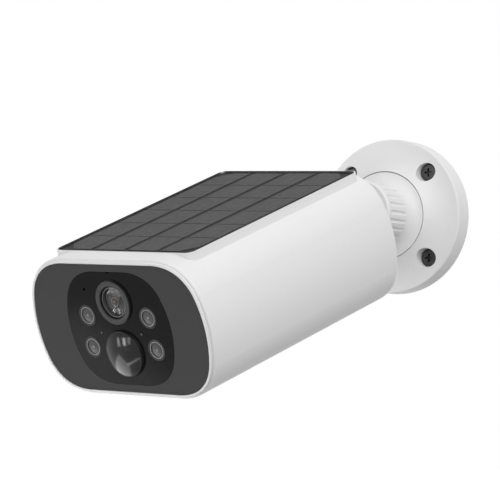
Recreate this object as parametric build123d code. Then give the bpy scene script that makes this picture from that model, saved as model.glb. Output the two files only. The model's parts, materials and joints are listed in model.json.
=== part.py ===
from build123d import *
import os
from math import asin, atan2, cos, degrees, radians, sin, sqrt

# Solar-powered bullet camera on a ball-jointed wall bracket.  Millimetres.
# Row frame: the wall is the plane Y = 0, its solid side is +Y, +Z is up.  The origin is the
# centre of the wall plate's back.  The camera hangs on the ball in the pose it is aimed to.
# Camera frame: Y = 0 is the front of the dark face, +Y runs to the rear, the middle of the
# face is X = Z = 0.

# ---------------------------------------------------------------- clearances
SEAT = 0.0            # parts of one body that rest on each other
RUN = 0.10            # radial clearance of a running fit
FREE = 0.30           # clearance between bodies that must not touch
SLIP = 0.15           # clearance of a part that drops into a pocket
DRILL = 0.20          # extra reach of a cutter past the face that it opens

# ---------------------------------------------------------------- case section
FACE_HALF_W = 53.4
FACE_HALF_H = 30.5
SHOULDER_R, SHOULDER_TURN = 30.9, 18.7      # arc beside the flat top, and its angle
CORNER_R, CORNER_TURN = 20.3, 53.2          # tight arc after it
WINDOW_HALF_W = 32.2
WINDOW_HALF_H = 26.9
WINDOW_SHOULDER_R, WINDOW_SHOULDER_TURN = 24.5, 23.6
WINDOW_CORNER_R, WINDOW_CORNER_TURN = 17.7, 43.4

# ---------------------------------------------------------------- case
CASE_GROW = 2.15          # case surface outside the face outline
CASE_FRONT = 0.75
CASE_WALL = 2.2
REAR_WALL = 2.6
REAR_EDGE_R = 4.0
FRONT_EDGE_R = 0.9
REAR_MARGIN = 5.0         # case behind the panel
CASE_TOP = FACE_HALF_H + CASE_GROW
CASE_INNER = CASE_GROW - CASE_WALL
FLOOR = -(FACE_HALF_H + CASE_INNER)      # inside of the bottom wall

# ---------------------------------------------------------------- front bezel and face
LIP_GROW = 1.25           # white rim outside the face outline
LIP_FRONT = -0.4
LIP_DEPTH = 1.1
LIP_EDGE_R = 0.4
SPIGOT_GROW = 0.95
SPIGOT_REAR = 5.0
MOUTH_DEPTH = 6.0         # step in the case that the front gasket sits on
BEZEL_WEB = 7.0           # width of the flange behind the face plate
FACE_T = 3.0
FACE_SINK = 0.1           # face plate inside the face outline
WINDOW_T = 1.8
WINDOW_LEDGE = 1.5
FACE_GAP = 0.1            # rim's inner edge outside the face outline
WINDOW_GAP = 0.08
NOTCH_W, NOTCH_H = 1.8, 0.6

# ---------------------------------------------------------------- solar panel
PANEL_W = 86.0
PANEL_L = 117.1
PANEL_FRONT = 11.4
PANEL_CORNER_R = 3.5
PANEL_LIP = 0.8
PANEL_RISE = 0.35        # panel surface above the case
LIP_RISE = -0.15          # lip round the panel, against the panel surface
FILM_T, CELL_T, BACKSHEET_T = 0.4, 0.3, 1.8
CELL_COLUMNS, CELL_ROWS = 4, 6
CELL_FIELD_HALF_W = 40.4
CELL_FIELD_START, CELL_FIELD_L = 2.6, 112.6
COLUMN_GAP, ROW_GAP = 2.9, 0.45
CELL_CHAMFER = 6.9
DECK_T = 2.2
PANEL_REAR = PANEL_FRONT + PANEL_L
PANEL_TOP = CASE_TOP + PANEL_RISE
CASE_REAR = PANEL_REAR + REAR_MARGIN
REAR_INNER = CASE_REAR - REAR_WALL
POCKET_FLOOR = PANEL_TOP - FILM_T - CELL_T - BACKSHEET_T
DECK_UNDER = POCKET_FLOOR - DECK_T
RISER_HALF_W = PANEL_W / 2 + PANEL_LIP
RISER_TOP = PANEL_TOP + LIP_RISE
DECK_FRONT = PANEL_FRONT - PANEL_LIP - 0.2

# ---------------------------------------------------------------- front fittings (x, z)
LENS_AT = (0.0, 12.6)
LENS_RING_R, LENS_RING_PROUD, LENS_RING_T = 10.3, 1.3, 0.5
LENS_RING_BORE_R, LENS_RING_BEVEL = 7.7, 0.4
LENS_SEAT_R = LENS_RING_R - 0.1
LENS_BASE_R, LENS_BASE_T = LENS_RING_R + 0.25, 0.3
LENS_TUBE_END = 4.8
LENS_GROOVE_END = 1.3
BARREL_R, BARREL_RIM, BARREL_RIM_W = 7.2, -0.3, 0.45
GLASS_FRONT, GLASS_T, GLASS_DOME_R = 0.3, 1.5, 24.0
PUPIL_R = 2.2
HOLDER_W = 17.0
PIR_AT = (0.0, -11.8)
PIR_BASE_R, PIR_RING_R, PIR_RING_PROUD = 11.2, 10.9, 1.5
PIR_LENS_R, PIR_LENS_RISE = 10.5, 2.2
PIR_CAN_R = 4.6
LED_R = 5.05
LEDS_AT = ((-19.2, 5.7), (19.2, 5.7), (-20.2, -9.5), (20.2, -9.5))
LED_PROUD = 0.15
LED_RING_IN = 4.3         # flat rim inside this radius falls to a bead
LED_BEAD_R = 3.95
LED_BORE_R = 3.65
LAMP_R, LAMP_SINK, LAMP_RISE = 3.3, 0.25, 0.8
LAMP_BODY_R = 2.6
LIGHT_SENSOR_R = 0.55
LIGHT_SENSORS_AT = ((-12.7, -2.3), (12.7, -2.3))
MIC_AT = (-17.5, 18.3)
MIC_HOLE_R, MIC_R = 0.8, 2.2

# ---------------------------------------------------------------- inside, front to back
LED_BOARD_Y, LED_BOARD_T = 5.4, 1.2
LED_BOARD_HALF_W, LED_BOARD_HALF_H = 29.0, 21.5
CHASSIS_Y, CHASSIS_T = 8.6, 1.6
CHASSIS_INSET = 2.2
SENSOR_BOARD_Y, SENSOR_BOARD_T, SENSOR_BOARD_W = 15.0, 1.6, 30.0
POST_R = 2.2
SCREW_R = 1.0
BOARD_DROP, BOARD_T = 8.3, 1.6       # board below the deck
BOARD_HALF_W, BOARD_Y0, BOARD_BEFORE_REAR = 34.0, 24.0, 21.5
BOARD_Z = DECK_UNDER - BOARD_DROP
BOARD_Y1 = CASE_REAR - BOARD_BEFORE_REAR

# ---------------------------------------------------------------- battery bay
CELL_R, CELL_L = 9.2, 65.0
CELL_SPACE = 0.6
CELL_PITCH = 2 * CELL_R + CELL_SPACE
BAY_Y0 = 38.0
TAB_T = 0.3
BAY_L = CELL_L + 2 * TAB_T + 2 * 1.1 + 0.4
TRAY_WALL = 1.1
BAY_HALF_W = CELL_PITCH / 2 + CELL_R + TRAY_WALL + 0.1
BAY_GAP = 0.5
GASKET_W, GASKET_T = 1.5, 0.5
HATCH_T = 2.25
HATCH_LAND = 4.2          # hatch rim outside the gasket, which carries the screws
FRAME_T = 2.5
HATCH_SCREW_R, HATCH_HEAD_R, HATCH_HEAD_T = 1.25, 2.2, 1.2

# ---------------------------------------------------------------- port bay (bottom rear)
PORT_HALF_L, PORT_L, PORT_FROM_REAR = 18.0, 9.0, 15.0
PORT_Y0 = CASE_REAR - PORT_FROM_REAR
PORT_Y1 = PORT_Y0 + PORT_L
PORT_DEPTH = 2.4
PORT_PAD_T = 2.2
PORT_BOARD_T = 1.4
PORT_BOARD_UP = 3.2       # port board above the pad
FLAP_T = 1.6
FLAP_PIN_R, FLAP_PIN_L = 0.4, 1.5
USB_W, USB_H, USB_WALL = 8.94, 3.26, 0.3
CARD_AT, CARD_W, CARD_H = 11.8, 11.6, 1.6
POWER_AT, POWER_R, POWER_PROUD, POWER_TRAVEL = -13.0, 2.0, 0.35, 0.35
RESET_AT, RESET_R, RESET_PROUD, RESET_TRAVEL = -7.6, 1.0, -0.2, 0.3
BUTTON_FLANGE, BUTTON_FLANGE_T = 0.8, 0.4

# ---------------------------------------------------------------- speaker
SPEAKER_Y, SPEAKER_R, SPEAKER_T = 18.0, 7.5, 4.5
MESH_T = 0.2

# ---------------------------------------------------------------- bracket
PLATE_R = 38.1
PLATE_RIM = 10.7
PLATE_EDGE_R = 0.9
PLATE_WALL = 2.5
DOME_BULGE = -1.3         # hollow-curved dome
SEAM_R, SEAM_H = 21.9, 17.5
SEAM_GAP = 0.4
SEAM_FLOOR = 14.8
WALL_PCD = 59.4
WALL_SCREW_R, WALL_SCREW_HEAD_R, WALL_SCREW_HEAD_T = 2.0, 4.35, 2.8
WALL_SCREW_NECK_R = 2.2
WALL_SCREW_REACH = 12.0   # shank that stands out behind the plate
WALL_HOLE_R = 2.4
HEAD_POCKET_R, HEAD_SEAT_H = 4.6, 7.0
BOSS_R = 6.6
BALL_R = 10.0
BALL_H = 36.0             # ball centre in front of the wall
LINER_T = 1.27
CUP_R = BALL_R + RUN + LINER_T + RUN
POST_WALL = 1.55
CUP_POST_R = CUP_R + POST_WALL
MOUTH_ANGLE = 66.0        # half angle of the opening round the stem, seen from the ball
SLIP_RING_T = 1.2         # ring between cup post and collar
RING_GAP = 0.10
SPIGOT_R = CUP_POST_R - 3.2      # foot of the cup post, in the plate's hub
HUB_R = CUP_POST_R + 1.5
HUB_WEB_H, HUB_WEB_T = 5.4, 2.4  # web that the post is screwed to from behind
POST_SCREW_R, POST_SCREW_HEAD_R, POST_SCREW_HEAD_T = 2.0, 3.8, 2.4
POST_SCREW_IN = 9.0
KEY_W, KEY_DEPTH = 4.0, 1.2      # flat key that keeps the post from turning
COLLAR_WALL = 2.48
COLLAR_R = CUP_POST_R + RUN + COLLAR_WALL
COLLAR_BAND_R = COLLAR_R + 0.4
COLLAR_FRONT_H = BALL_H + 6.8
COLLAR_BAND_H = COLLAR_FRONT_H - 2.7
FLARE_H = 23.5
GROOVES = 24
GROOVE_R, GROOVE_DEPTH = 1.3, 0.7
GROOVE_LEAN, GROOVE_END_H = 0.35, 24.0

# ---------------------------------------------------------------- stem and its nut
STEM_X, STEM_Z = 0.0, -4.0          # stem axis on the case's rear
BALL_BACK = 42.4                    # ball centre behind the case's rear
NECK_R, SHAFT_R, STUD_R = 4.5, 6.0, 3.1
NECK_L, SHAFT_START, SHAFT_END = 16.0, 20.0, 31.5
WASHER_R, WASHER_T = 10.5, 1.0
WASHER_GAP = 0.10
NUT_R, NUT_T, NUT_FLUTES = 9.6, 5.2, 20
INSERT_R, INSERT_L = 5.0, 10.0
STUD_IN = 8.0                       # stud length inside the case

# ---------------------------------------------------------------- pose
AIM_SIDE = 14.7       # camera turned towards -X
AIM_DOWN = 21.0
AIM_ROLL = 3.5
BALL_Y = CASE_REAR + BALL_BACK
BALL_IN_ROW = (0.0, -BALL_H, 0.0)


# ================================================================ helpers
def rod(x, z, radius, y0, y1):
    """Cylinder along Y from y0 to y1."""
    return Pos(x, (y0 + y1) / 2, z) * Rot(90, 0, 0) * Cylinder(radius, y1 - y0)


def pillar(x, y, radius, z0, z1):
    """Cylinder along Z from z0 to z1."""
    return Pos(x, y, (z0 + z1) / 2) * Cylinder(radius, z1 - z0)


def block(x0, x1, y0, y1, z0, z1):
    """Box between two corners."""
    return Pos((x0 + x1) / 2, (y0 + y1) / 2, (z0 + z1) / 2) * Box(x1 - x0, y1 - y0, z1 - z0)


def plate(half_w, y0, y1, z0, z1, corner):
    """Flat plate with rounded vertical corners."""
    made = block(-half_w, half_w, y0, y1, z0, z1)
    return fillet(made.edges().filter_by(Axis.Z), corner)


def outline(half_w, half_h, r_shoulder, shoulder_turn, r_corner, corner_turn, grow, y):
    """Closed face across Y: flat top, shoulder arcs, corner arcs and bowed sides, all tangent."""
    first, turned = radians(shoulder_turn), radians(shoulder_turn + corner_turn)
    corner_z = half_h - r_shoulder + (r_shoulder - r_corner) * cos(first)
    r_side = r_corner + corner_z / cos(turned)
    flat = (half_w - r_side - (r_shoulder - r_corner) * sin(first)
            - (r_corner - r_side) * sin(turned))
    shoulder_at = (flat, half_h - r_shoulder)
    corner_at = (flat + (r_shoulder - r_corner) * sin(first), corner_z)
    side_at = (half_w - r_side, 0.0)

    def on(centre, radius, angle):
        return (centre[0] + (radius + grow) * sin(angle), centre[1] + (radius + grow) * cos(angle))

    last = radians(90)
    quarter = [
        (on(shoulder_at, r_shoulder, 0), on(shoulder_at, r_shoulder, first / 2),
         on(shoulder_at, r_shoulder, first)),
        (on(corner_at, r_corner, first), on(corner_at, r_corner, (first + turned) / 2),
         on(corner_at, r_corner, turned)),
    ]
    side_start = on(side_at, r_side, turned)
    side_end = on(side_at, r_side, last)
    edges = []
    for sx in (1, -1):
        for sz in (1, -1):
            for start, middle, end in quarter:
                edges.append(ThreePointArc(*[(sx * p[0], y, sz * p[1])
                                             for p in (start, middle, end)]))
        edges.append(ThreePointArc((sx * side_start[0], y, side_start[1]),
                                   (sx * side_end[0], y, 0),
                                   (sx * side_start[0], y, -side_start[1])))
    for sz in (1, -1):
        top = sz * (half_h + grow)
        edges.append(Line((-flat, y, top), (flat, y, top)))
    return Face(Wire.combine(edges)[0])


def face_slab(grow, y0, y1):
    """Slab with the face's outline, grown by grow."""
    section = outline(FACE_HALF_W, FACE_HALF_H, SHOULDER_R, SHOULDER_TURN,
                      CORNER_R, CORNER_TURN, grow, y0)
    return extrude(section, amount=y1 - y0, dir=(0, 1, 0))


def window_slab(grow, y0, y1):
    """Slab with the window's outline, grown by grow."""
    section = outline(WINDOW_HALF_W, WINDOW_HALF_H, WINDOW_SHOULDER_R, WINDOW_SHOULDER_TURN,
                      WINDOW_CORNER_R, WINDOW_CORNER_TURN, grow, y0)
    return extrude(section, amount=y1 - y0, dir=(0, 1, 0))


def turned(points, axis=Axis.Y):
    """Solid of revolution about Y from a closed list of (radius, y) corners."""
    return revolve(make_face(Polyline(*points, close=True)), axis)


def group(solids):
    """Several separate solids that share one node."""
    return Compound(children=list(solids))


def aimed():
    """Location of the camera frame in the row frame."""
    at_ball = Pos(*BALL_IN_ROW) * Rot(0, 0, -AIM_SIDE) * Rot(AIM_DOWN, 0, 0) * Rot(0, AIM_ROLL, 0)
    return at_ball * Pos(-STEM_X, -BALL_Y, -STEM_Z)


def write(node, shape):
    """Writes one node in the row frame."""
    export_step(shape, f"parts/{node}.step")


def write_camera(node, shape):
    """Writes one node that is modelled in the camera frame."""
    write(node, aimed() * shape)


# ================================================================ places used more than once
LED_BOARD_REAR = LED_BOARD_Y + LED_BOARD_T
CHASSIS_REAR = CHASSIS_Y + CHASSIS_T
BEZEL_POSTS = [(sx * 28.0, sz * (FACE_HALF_H - 4.5)) for sx in (1, -1) for sz in (1, -1)]
LED_POSTS = [(sx * (LED_BOARD_HALF_W - 3), sz * (LED_BOARD_HALF_H - 3))
             for sx in (1, -1) for sz in (1, -1)]
SENSOR_POSTS = [(LENS_AT[0] + sx * 11.5, LENS_AT[1] + sz * 11.5)
                for sx in (1, -1) for sz in (1, -1)]
BOARD_POSTS = [(sx * (BOARD_HALF_W - 4), y) for sx in (1, -1)
               for y in (BOARD_Y0 + 4, BOARD_Y1 - 4)]
BAY_Y1 = BAY_Y0 + BAY_L
OPENING_HALF_W = BAY_HALF_W + BAY_GAP
OPENING_Y0, OPENING_Y1 = BAY_Y0 - BAY_GAP, BAY_Y1 + BAY_GAP
GASKET_HALF_W = OPENING_HALF_W + 0.4 + GASKET_W
GASKET_Y0, GASKET_Y1 = OPENING_Y0 - 0.4 - GASKET_W, OPENING_Y1 + 0.4 + GASKET_W
HATCH_HALF_W = GASKET_HALF_W + HATCH_LAND
HATCH_Y0, HATCH_Y1 = GASKET_Y0 - HATCH_LAND, GASKET_Y1 + HATCH_LAND
HATCH_INNER = -CASE_TOP + HATCH_T
LEDGE_Z = HATCH_INNER + GASKET_T
HATCH_SCREWS = [(sx * (HATCH_HALF_W - 2.9), y) for sx in (1, -1)
                for y in (HATCH_Y0 + 2.9, HATCH_Y1 - 2.9)]
CELL_Z = HATCH_INNER + TRAY_WALL + 0.3 + CELL_R
PORT_FLOOR = -CASE_TOP + PORT_DEPTH
PORT_PAD_TOP = PORT_FLOOR + PORT_PAD_T
PORT_BOARD_Z = PORT_PAD_TOP + PORT_BOARD_UP
PORT_MID = (PORT_Y0 + PORT_Y1) / 2
FLAP_PIVOT_Y = PORT_Y0 + FREE + FLAP_T / 2
FLAP_PIVOT_Z = -CASE_TOP + FLAP_T / 2
STUD_HOLE_R = STUD_R + RUN


# ================================================================ case
def main_housing():
    """One-piece case: rounded tube, rear wall, panel riser, battery frame and port bay."""
    shell = face_slab(CASE_GROW, CASE_FRONT, CASE_REAR)
    rear = shell.faces().sort_by(Axis.Y)[-1]
    shell = fillet(rear.edges(), REAR_EDGE_R)
    front = shell.faces().sort_by(Axis.Y)[0]
    shell = fillet(front.edges(), FRONT_EDGE_R)
    riser = plate(RISER_HALF_W, PANEL_FRONT - PANEL_LIP, PANEL_REAR + PANEL_LIP,
                  0, RISER_TOP, PANEL_CORNER_R + PANEL_LIP)
    case = shell + riser
    case -= face_slab(SPIGOT_GROW + RUN, -1, MOUTH_DEPTH)
    hollow = face_slab(CASE_INNER, MOUTH_DEPTH - DRILL, REAR_INNER)
    hollow -= block(-60, 60, DECK_FRONT, CASE_REAR, DECK_UNDER, 40)
    case -= hollow
    case -= plate(PANEL_W / 2 + SLIP, PANEL_FRONT - SLIP, PANEL_REAR + SLIP,
                  POCKET_FLOOR, RISER_TOP + 1, PANEL_CORNER_R + SLIP)
    for x, y in BOARD_POSTS:
        case += pillar(x, y, POST_R + 0.6, BOARD_Z + BOARD_T, DECK_UNDER + 1)
        case -= pillar(x, y, SCREW_R, BOARD_Z + BOARD_T - 1, BOARD_Z + BOARD_T + 5)
    case -= pillar(0, PANEL_REAR - 12, 2.0, DECK_UNDER - 1, POCKET_FLOOR + 1)
    case = add_battery_frame(case)
    case = add_port_bay(case)
    case = add_speaker_seat(case)
    return add_stud_boss(case)


def add_battery_frame(case):
    """Frame inside the bottom wall with the hatch recess, gasket ledge and screw holes."""
    edge = 2.0
    case += block(-HATCH_HALF_W - edge, HATCH_HALF_W + edge, HATCH_Y0 - edge, HATCH_Y1 + edge,
                  FLOOR - 0.5, LEDGE_Z + FRAME_T)
    case -= plate(HATCH_HALF_W + FREE, HATCH_Y0 - FREE, HATCH_Y1 + FREE,
                  -CASE_TOP - 1, LEDGE_Z, 4 + FREE)
    case -= plate(OPENING_HALF_W, OPENING_Y0, OPENING_Y1, LEDGE_Z - 1, LEDGE_Z + 6, 2)
    for x, y in HATCH_SCREWS:
        case += pillar(x, y, 2.6, HATCH_INNER, LEDGE_Z + 0.5)
        case -= pillar(x, y, HATCH_SCREW_R, HATCH_INNER - 0.5, LEDGE_Z + FRAME_T - 0.6)
    return case


def add_port_bay(case):
    """Recess for the flap, its pin holes, and the openings of ports and buttons."""
    case += block(-PORT_HALF_L - 2.5, PORT_HALF_L + 2.5, PORT_Y0 - 1.5, REAR_INNER + 0.5,
                  FLOOR - 0.5, PORT_PAD_TOP)
    case -= block(-PORT_HALF_L, PORT_HALF_L, PORT_Y0, PORT_Y1, -CASE_TOP - 1, PORT_FLOOR)
    for sx in (1, -1):
        reach = sx * (PORT_HALF_L + FLAP_PIN_L / 2)
        hole = Cylinder(FLAP_PIN_R + RUN / 2, FLAP_PIN_L + 0.6)
        case -= Pos(reach, FLAP_PIVOT_Y, FLAP_PIVOT_Z) * Rot(0, 90, 0) * hole
        case += pillar(sx * (PORT_HALF_L + 0.9), PORT_MID, 1.1,
                       PORT_PAD_TOP - 0.5, PORT_BOARD_Z)
    case -= usb_prism(USB_W + 2 * SLIP, USB_H + 2 * SLIP, PORT_FLOOR - 1, PORT_PAD_TOP + 1)
    case -= block(CARD_AT - CARD_W / 2 - SLIP, CARD_AT + CARD_W / 2 + SLIP,
                  PORT_MID - CARD_H / 2 - SLIP, PORT_MID + CARD_H / 2 + SLIP,
                  PORT_FLOOR - 1, PORT_PAD_TOP + 1)
    for x, radius in ((POWER_AT, POWER_R), (RESET_AT, RESET_R)):
        case -= pillar(x, PORT_MID, radius + RUN, PORT_FLOOR - 1, PORT_PAD_TOP + 1)
    # finger notch beside the flap's free edge
    case -= Pos(0, PORT_Y1 + 1.0, -CASE_TOP - 0.4) * Sphere(3.0)
    return case


def add_speaker_seat(case):
    """Ring that centres the speaker, and the grille under it."""
    ring = pillar(0, SPEAKER_Y, SPEAKER_R + 1.6, FLOOR - 0.5, FLOOR + 2.2)
    ring -= pillar(0, SPEAKER_Y, SPEAKER_R + SLIP, FLOOR, FLOOR + 4)
    case += ring
    holes = [(0, 0)] + [(3.0 * cos(radians(a)), 3.0 * sin(radians(a))) for a in range(0, 360, 60)]
    for dx, dy in holes:
        case -= pillar(dx, SPEAKER_Y + dy, 0.8, -CASE_TOP - 1, FLOOR + 1)
    return case


def add_stud_boss(case):
    """Boss behind the rear wall that holds the threaded insert."""
    case += rod(STEM_X, STEM_Z, INSERT_R + 2.5, CASE_REAR - INSERT_L - 1.5, REAR_INNER + 0.5)
    case -= rod(STEM_X, STEM_Z, INSERT_R, CASE_REAR - INSERT_L, CASE_REAR + 1)
    return case - rod(STEM_X, STEM_Z, STUD_R + 0.4, CASE_REAR - INSERT_L - 2.5, CASE_REAR)


def front_bezel():
    """White rim with the flange that the face plate is bonded to, and four chassis posts."""
    lip = face_slab(LIP_GROW, LIP_FRONT, LIP_FRONT + LIP_DEPTH)
    lip = fillet(lip.faces().sort_by(Axis.Y)[0].edges(), LIP_EDGE_R)
    bezel = lip + face_slab(SPIGOT_GROW, LIP_FRONT + LIP_DEPTH - DRILL, SPIGOT_REAR)
    bezel -= face_slab(FACE_GAP, LIP_FRONT - 1, FACE_T)
    bezel -= face_slab(-BEZEL_WEB, FACE_T - 1, SPIGOT_REAR + 1)
    for x, z in BEZEL_POSTS:
        bezel += rod(x, z, POST_R, SPIGOT_REAR - 0.5, CHASSIS_Y)
        bezel -= rod(x, z, SCREW_R, CHASSIS_Y - 3.5, CHASSIS_Y + 1)
    return bezel


def front_gasket():
    """Flat silicone seal between the bezel's spigot and the step in the case."""
    return face_slab(SPIGOT_GROW - 0.1, SPIGOT_REAR, MOUTH_DEPTH) - \
        face_slab(-0.6, SPIGOT_REAR - 1, MOUTH_DEPTH + 1)


def face_plate():
    """Dark front plate with a stepped opening for the window."""
    made = face_slab(-FACE_SINK, 0, FACE_T) - window_slab(WINDOW_GAP, -1, WINDOW_T)
    return made - window_slab(-WINDOW_LEDGE, WINDOW_T - 1, FACE_T + 1)


def window():
    """Black front window with openings for the lens, motion dome, lamps and sound."""
    made = window_slab(0, 0, WINDOW_T)
    made -= block(-NOTCH_W / 2, NOTCH_W / 2, -1, WINDOW_T + 1,
                  WINDOW_HALF_H - NOTCH_H, WINDOW_HALF_H + 1)
    made -= rod(*LENS_AT, LENS_SEAT_R + SLIP, -1, WINDOW_T + 1)
    made -= rod(*PIR_AT, PIR_RING_R + SLIP, -1, WINDOW_T + 1)
    for x, z in LEDS_AT:
        made -= rod(x, z, LED_R + 0.05, -1, WINDOW_T + 1)
    for x, z in LIGHT_SENSORS_AT:
        made -= rod(x, z, LIGHT_SENSOR_R + 0.05, -1, WINDOW_T + 1)
    return made - rod(*MIC_AT, MIC_HOLE_R, -1, WINDOW_T + 1)


# ================================================================ lens group
def lens_ring():
    """Flat trim ring on the lens tube, bevelled at its bore."""
    x, z = LENS_AT
    made = rod(x, z, LENS_RING_R, -LENS_RING_PROUD, -LENS_RING_PROUD + LENS_RING_T)
    made = fillet(made.edges().group_by(Axis.Y)[0], 0.2)
    made -= rod(x, z, LENS_RING_BORE_R, -LENS_RING_PROUD - 1, 1)
    return made - Pos(x, -LENS_RING_PROUD, z) * Rot(90, 0, 0) * Cone(
        LENS_RING_BORE_R, LENS_RING_BORE_R + 2 * LENS_RING_BEVEL, 2 * LENS_RING_BEVEL)


def lens_shroud():
    """Black tube through the window, with a flange on it and a seat for the trim ring."""
    x, z = LENS_AT
    made = rod(x, z, LENS_SEAT_R, -LENS_RING_PROUD + LENS_RING_T, LENS_TUBE_END)
    made += rod(x, z, LENS_BASE_R, -LENS_BASE_T, SEAT)
    made -= rod(x, z, LENS_RING_BORE_R, -2, LENS_GROOVE_END)
    return made - rod(x, z, BARREL_R + 0.05, 0, LENS_TUBE_END + 1)


def lens_barrel():
    """Lens barrel: thin front rim, seat of the front element and stopped-down pupil."""
    x, z = LENS_AT
    glass_rear = GLASS_FRONT + GLASS_T
    bore = BARREL_R - BARREL_RIM_W
    made = rod(x, z, BARREL_R, BARREL_RIM, CHASSIS_Y + 4.2)
    made = fillet(made.edges().group_by(Axis.Y)[0], 0.15)
    made -= rod(x, z, bore, BARREL_RIM - 1, glass_rear)
    made -= Pos(x, glass_rear + 1.0, z) * Rot(90, 0, 0) * Cone(PUPIL_R, bore - 0.8, 2.0)
    return made - rod(x, z, PUPIL_R - 0.4, glass_rear + 1, CHASSIS_Y + 5)


def lens_glass():
    """Front element: a slightly domed glass disc in the barrel."""
    x, z = LENS_AT
    disc = rod(x, z, BARREL_R - BARREL_RIM_W - 0.02, GLASS_FRONT, GLASS_FRONT + GLASS_T)
    return disc & (Pos(x, GLASS_FRONT + GLASS_DOME_R, z) * Sphere(GLASS_DOME_R))


def lens_holder():
    """Square holder that carries the barrel over the image sensor."""
    x, z = LENS_AT
    half = HOLDER_W / 2
    made = block(x - half, x + half, CHASSIS_Y - 1.2, SENSOR_BOARD_Y, z - half, z + half)
    made -= rod(x, z, BARREL_R + 0.03, CHASSIS_Y - 2, CHASSIS_Y + 4.3)
    return made - block(x - 5.5, x + 5.5, CHASSIS_Y + 3, SENSOR_BOARD_Y + 1, z - 5.5, z + 5.5)


def image_sensor():
    """Sensor package on the small board."""
    x, z = LENS_AT
    return block(x - 4, x + 4, SENSOR_BOARD_Y - 1.2, SENSOR_BOARD_Y, z - 3.5, z + 3.5)


def sensor_board():
    """Board behind the lens, on four chassis posts."""
    x, z = LENS_AT
    half = SENSOR_BOARD_W / 2 - 1
    made = block(x - half, x + half, SENSOR_BOARD_Y, SENSOR_BOARD_Y + SENSOR_BOARD_T,
                 z - half, z + half)
    for px, pz in SENSOR_POSTS:
        made -= rod(px, pz, SCREW_R + 0.1, SENSOR_BOARD_Y - 1, SENSOR_BOARD_Y + 3)
    return made


# ================================================================ motion sensor and lamps
def pir_ring():
    """Black seat of the motion dome, bevelled outside, with a flange on the window."""
    x, z = PIR_AT
    bevel = Pos(x, -PIR_RING_PROUD / 2, z) * Rot(90, 0, 0) * Cone(
        PIR_BASE_R, PIR_RING_R - 0.05, PIR_RING_PROUD)
    made = bevel + rod(x, z, PIR_RING_R, -0.5, LED_BOARD_Y - 0.6)
    return made - rod(x, z, PIR_LENS_R - 1.0, -PIR_RING_PROUD - 1, LED_BOARD_Y) - \
        rod(x, z, PIR_LENS_R + 0.03, -PIR_RING_PROUD - 1, -PIR_RING_PROUD + 0.8)


def pir_lens():
    """Domed motion lens: a thin spherical cap with a short skirt."""
    x, z = PIR_AT
    rise, radius = PIR_LENS_RISE, PIR_LENS_R
    cap_r = (radius ** 2 + rise ** 2) / (2 * rise)
    base = -PIR_RING_PROUD
    centre = base - rise + cap_r
    skirt = 0.8
    wall = 0.9
    body = rod(x, z, radius, base - rise - 1, base + skirt)
    outer = body & (Pos(x, centre, z) * Sphere(cap_r))
    inner = rod(x, z, radius - wall, base - rise - 1, base + skirt + 1)
    return outer - (inner & (Pos(x, centre, z) * Sphere(cap_r - wall)))


def pir_sensor():
    """Metal-can motion sensor on the lamp board."""
    x, z = PIR_AT
    return rod(x, z, PIR_CAN_R, 1.4, LED_BOARD_Y - 0.5) + \
        rod(x, z, PIR_CAN_R + 0.5, LED_BOARD_Y - 0.6, LED_BOARD_Y)


def lamp_rings():
    """Four trim tubes round the lamps: flat rim, groove, and a raised bead at the bore."""
    made = []
    for x, z in LEDS_AT:
        tube = rod(x, z, LED_R, -LED_PROUD, LED_BOARD_Y - 0.2)
        tube -= rod(x, z, LED_RING_IN, -1, 0.25)
        bead = rod(x, z, LED_BEAD_R + 0.15, -LED_PROUD, 0.5)
        tube += fillet(bead.edges().group_by(Axis.Y)[0], 0.12)
        made.append(tube - rod(x, z, LED_BORE_R, -1, LED_BOARD_Y))
    return group(made)


def ir_lamps():
    """Four lamps, each a domed lens on its body, on the lamp board."""
    dome_r = (LAMP_R ** 2 + LAMP_RISE ** 2) / (2 * LAMP_RISE)
    made = []
    for x, z in LEDS_AT:
        head = rod(x, z, LAMP_R, LAMP_SINK, LAMP_SINK + LAMP_RISE + 1.2)
        head &= Pos(x, LAMP_SINK + dome_r, z) * Sphere(dome_r)
        made.append(head + rod(x, z, LAMP_BODY_R, LAMP_SINK + LAMP_RISE + 1, LED_BOARD_Y))
    return group(made)


def light_sensors():
    """Two light pipes from the window to the lamp board."""
    return group(rod(x, z, LIGHT_SENSOR_R, -0.05, LED_BOARD_Y) for x, z in LIGHT_SENSORS_AT)


def microphone():
    """Microphone capsule in its boot behind the sound hole."""
    x, z = MIC_AT
    return rod(x, z, MIC_R, WINDOW_T, LED_BOARD_Y) - rod(x, z, MIC_HOLE_R, 1, 3.2)


def led_board():
    """Lamp board with openings for the lens tube."""
    half_w, half_h = LED_BOARD_HALF_W, LED_BOARD_HALF_H
    made = block(-half_w, half_w, LED_BOARD_Y, LED_BOARD_REAR, -half_h, half_h)
    made = fillet(made.edges().filter_by(Axis.Y), 6)
    made -= rod(*LENS_AT, BARREL_R + 0.8, LED_BOARD_Y - 1, LED_BOARD_REAR + 1)
    half = HOLDER_W / 2 + 0.5
    return made - block(-half, half, LED_BOARD_REAR - 0.01, LED_BOARD_REAR + 1,
                        LENS_AT[1] - half, LENS_AT[1] + half)


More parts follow.
